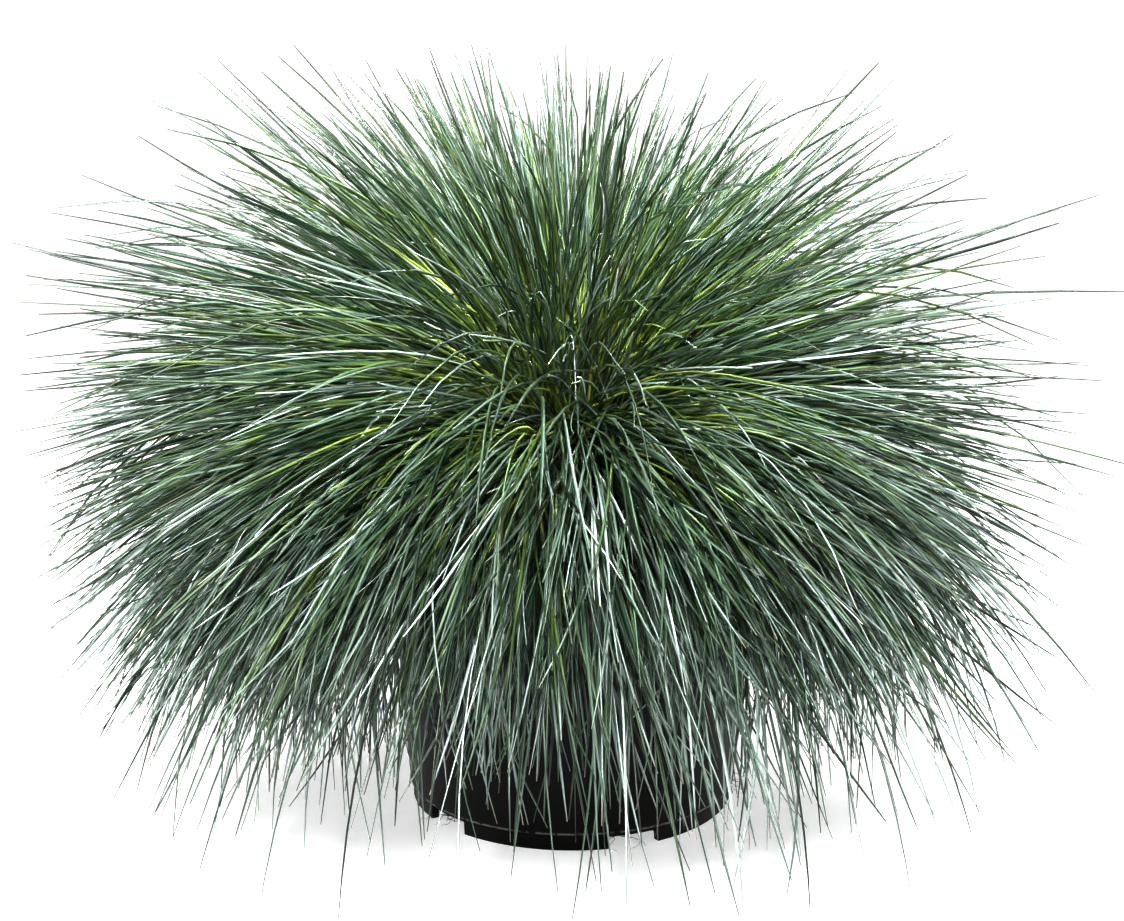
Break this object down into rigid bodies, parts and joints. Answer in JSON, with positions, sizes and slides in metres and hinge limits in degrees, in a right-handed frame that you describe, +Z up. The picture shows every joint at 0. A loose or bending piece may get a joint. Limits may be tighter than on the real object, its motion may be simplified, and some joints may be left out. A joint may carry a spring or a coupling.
{
  "type": "potted blue fescue clump",
  "caption": "Mop-headed clump of fine blue-green grass blades that arch over the rim of a round black nursery pot; stands on its own foot ring.",
  "frame": {"origin": "centre of the pot's base, on the surface that the pot stands on", "axes": "+Z up along the pot's axis; +X to the right and -Y towards a viewer who sees one whole foot and a drain notch just right of the middle"},
  "size_m": [0.4224, 0.4038, 0.297],
  "materials": {
    "pot_plastic": "satin black moulded plastic with faint turning lines and dust",
    "soil": "rough dark potting mix",
    "crown_stems": "dull, straw and olive stem bases",
    "blades": "waxy blue-green leaf with a pale bloom"
  },
  "bodies": {
    "root": {"pot": "pot_plastic", "potting_soil": "soil", "crown": "crown_stems", "tuft_top": "blades", "tuft_inner_01": "blades", "tuft_inner_02": "blades", "tuft_inner_03": "blades", "tuft_inner_04": "blades", "tuft_inner_05": "blades", "tuft_inner_06": "blades", "tuft_middle_01": "blades", "tuft_middle_02": "blades", "tuft_middle_03": "blades", "tuft_middle_04": "blades", "tuft_middle_05": "blades", "tuft_middle_06": "blades", "tuft_middle_07": "blades", "tuft_middle_08": "blades", "tuft_middle_09": "blades", "tuft_middle_10": "blades", "tuft_outer_01": "blades", "tuft_outer_02": "blades", "tuft_outer_03": "blades", "tuft_outer_04": "blades", "tuft_outer_05": "blades", "tuft_outer_06": "blades", "tuft_outer_07": "blades", "tuft_outer_08": "blades", "tuft_outer_09": "blades", "tuft_outer_10": "blades", "tuft_outer_11": "blades", "tuft_outer_12": "blades", "tuft_skirt_01": "blades", "tuft_skirt_02": "blades", "tuft_skirt_03": "blades", "tuft_skirt_04": "blades", "tuft_skirt_05": "blades", "tuft_skirt_06": "blades", "tuft_skirt_07": "blades", "tuft_skirt_08": "blades", "tuft_skirt_09": "blades", "tuft_skirt_10": "blades", "tuft_skirt_11": "blades", "tuft_skirt_12": "blades"}
  },
  "joints": []
}
